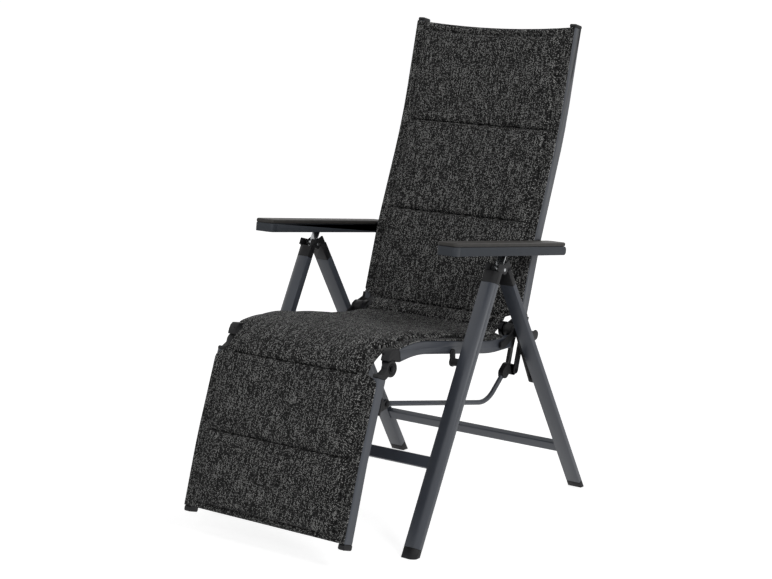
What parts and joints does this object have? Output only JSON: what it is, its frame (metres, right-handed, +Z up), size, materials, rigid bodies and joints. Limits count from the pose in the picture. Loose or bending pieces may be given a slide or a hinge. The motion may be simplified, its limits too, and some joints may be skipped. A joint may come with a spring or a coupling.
{
  "type": "reclining garden armchair",
  "caption": "High-back folding garden relaxer: crossed legs, reclining back linked to a rising leg rest, padded sling and ratchet armrests.",
  "frame": {"origin": "on the floor, below the middle of the overall length and width", "axes": "+X to the right of the sitter seen from the front of the picture, +Y towards the back, +Z up"},
  "size_m": [0.606, 0.9482, 1.1678],
  "materials": {
    "frame": "fine matt powder coat",
    "plastic": "moulded, matt",
    "armrest": "moulded, fine grain",
    "shell": "moulded, blue-grey like the tubes",
    "steel": "zinc plated",
    "black_steel": "black zinc plated",
    "sling": "woven melange, padded"
  },
  "bodies": {
    "front_legs": {"front_leg_left": "frame", "front_leg_right": "frame", "front_crossbar": "frame", "front_foot_caps": "plastic", "front_hinge_caps": "plastic", "ratchet_tongues": "steel", "seat_pivot_bolts": "steel", "top_hinge_pins": "steel"},
    "rear_legs": {"rear_leg_left": "frame", "rear_leg_right": "frame", "rear_crossbar": "frame", "rear_foot_caps": "plastic", "rear_hinge_caps": "plastic", "link_bolts": "steel"},
    "folding_links": {"folding_links": "plastic"},
    "seat": {"seat_tube_left": "frame", "seat_tube_right": "frame", "seat_front_cross_tube": "frame", "seat_rear_cross_tube": "frame", "seat_front_knuckles": "plastic", "seat_pivot_brackets": "plastic", "seat_rear_hubs": "plastic", "recline_stops": "plastic", "rest_pins": "black_steel", "seat_pad": "sling"},
    "recline_bushes": {"recline_bushes": "black_steel"},
    "back": {"back_tube_left": "frame", "back_tube_right": "frame", "back_lower_cross_tube": "frame", "back_upper_cross_tube": "frame", "back_top_caps": "plastic", "crank_arms": "plastic", "recline_pins": "black_steel", "crank_pins": "black_steel", "armrest_pins": "black_steel", "back_pad": "sling"},
    "crank_bushes": {"crank_bushes": "black_steel"},
    "lift_rods": {"lift_rods": "frame", "rod_ends": "plastic"},
    "armrest_bushes": {"armrest_bushes": "black_steel"},
    "armrest_left": {"armrest_body_left": "shell", "armrest_front_cap_left": "shell", "armrest_rack_left": "plastic", "armrest_plate_left": "armrest"},
    "armrest_right": {"armrest_body_right": "shell", "armrest_front_cap_right": "shell", "armrest_rack_right": "plastic", "armrest_plate_right": "armrest"},
    "rest_bushes": {"rest_bushes": "black_steel"},
    "leg_rest": {"rest_tube_left": "frame", "rest_tube_right": "frame", "rest_cross_tube": "frame", "rest_knuckles": "plastic", "rest_bottom_caps": "plastic", "rod_lugs": "plastic", "rod_lug_bolts": "black_steel", "rest_pad": "sling"}
  },
  "joints": [
    {"name": "leg_fold", "type": "hinge", "parent": "front_legs", "child": "rear_legs", "pos_m": [0, 0.05652, 0.617], "axis": [-1, 0, 0], "range_deg": [0, 55]},
    {"name": "seat_fold", "type": "hinge", "parent": "front_legs", "child": "seat", "pos_m": [0, -0.07063, 0.41198], "axis": [-1, 0, 0], "range_deg": [0, 83.55]},
    {"name": "link_fold", "type": "hinge", "parent": "rear_legs", "child": "folding_links", "pos_m": [0, 0.24986, 0.31106], "axis": [-1, 0, 0], "range_deg": [0, 121.05]},
    {"name": "back_fold", "type": "hinge", "parent": "seat", "child": "recline_bushes", "pos_m": [0, 0.18837, 0.44098], "axis": [-1, 0, 0], "range_deg": [-95.05, 0]},
    {"name": "back_recline", "type": "hinge", "parent": "recline_bushes", "child": "back", "pos_m": [0, 0.18837, 0.44098], "axis": [-1, 0, 0], "range_deg": [0, 38]},
    {"name": "rod_fold", "type": "hinge", "parent": "back", "child": "crank_bushes", "pos_m": [0, 0.19237, 0.34198], "axis": [-1, 0, 0], "range_deg": [0, 90.15]},
    {"name": "rod_swing", "type": "hinge", "parent": "crank_bushes", "child": "lift_rods", "pos_m": [0, 0.19237, 0.34198], "axis": [-1, 0, 0], "range_deg": [-35.39, 0]},
    {"name": "armrest_fold", "type": "hinge", "parent": "back", "child": "armrest_bushes", "pos_m": [0, 0.28384, 0.63398], "axis": [-1, 0, 0], "range_deg": [0, 123.55]},
    {"name": "armrest_left_tilt", "type": "hinge", "parent": "armrest_bushes", "child": "armrest_left", "pos_m": [0, 0.28384, 0.63398], "axis": [-1, 0, 0], "range_deg": [-23.23, 0]},
    {"name": "armrest_right_tilt", "type": "hinge", "parent": "armrest_bushes", "child": "armrest_right", "pos_m": [0, 0.28384, 0.63398], "axis": [-1, 0, 0], "range_deg": [-23.23, 0]},
    {"name": "rest_fold", "type": "hinge", "parent": "seat", "child": "rest_bushes", "pos_m": [0, -0.29863, 0.43698], "axis": [-1, 0, 0], "range_deg": [-95.05, 0]},
    {"name": "leg_rest_lift", "type": "hinge", "parent": "rest_bushes", "child": "leg_rest", "pos_m": [0, -0.29863, 0.43698], "axis": [-1, 0, 0], "range_deg": [0, 57.05]}
  ],
  "couplings": [
    {"joint": "seat_fold", "follows": "leg_fold", "ratio": 1.5182},
    {"joint": "link_fold", "follows": "leg_fold", "ratio": 2.2},
    {"joint": "back_fold", "follows": "leg_fold", "ratio": -1.7273},
    {"joint": "rod_fold", "follows": "leg_fold", "ratio": 1.6382},
    {"joint": "rod_swing", "follows": "back_recline", "ratio": -0.93},
    {"joint": "armrest_fold", "follows": "leg_fold", "ratio": 2.2455},
    {"joint": "armrest_left_tilt", "follows": "back_recline", "ratio": -0.61},
    {"joint": "armrest_right_tilt", "follows": "back_recline", "ratio": -0.61},
    {"joint": "rest_fold", "follows": "leg_fold", "ratio": -1.7273},
    {"joint": "leg_rest_lift", "follows": "back_recline", "ratio": 1.5}
  ]
}
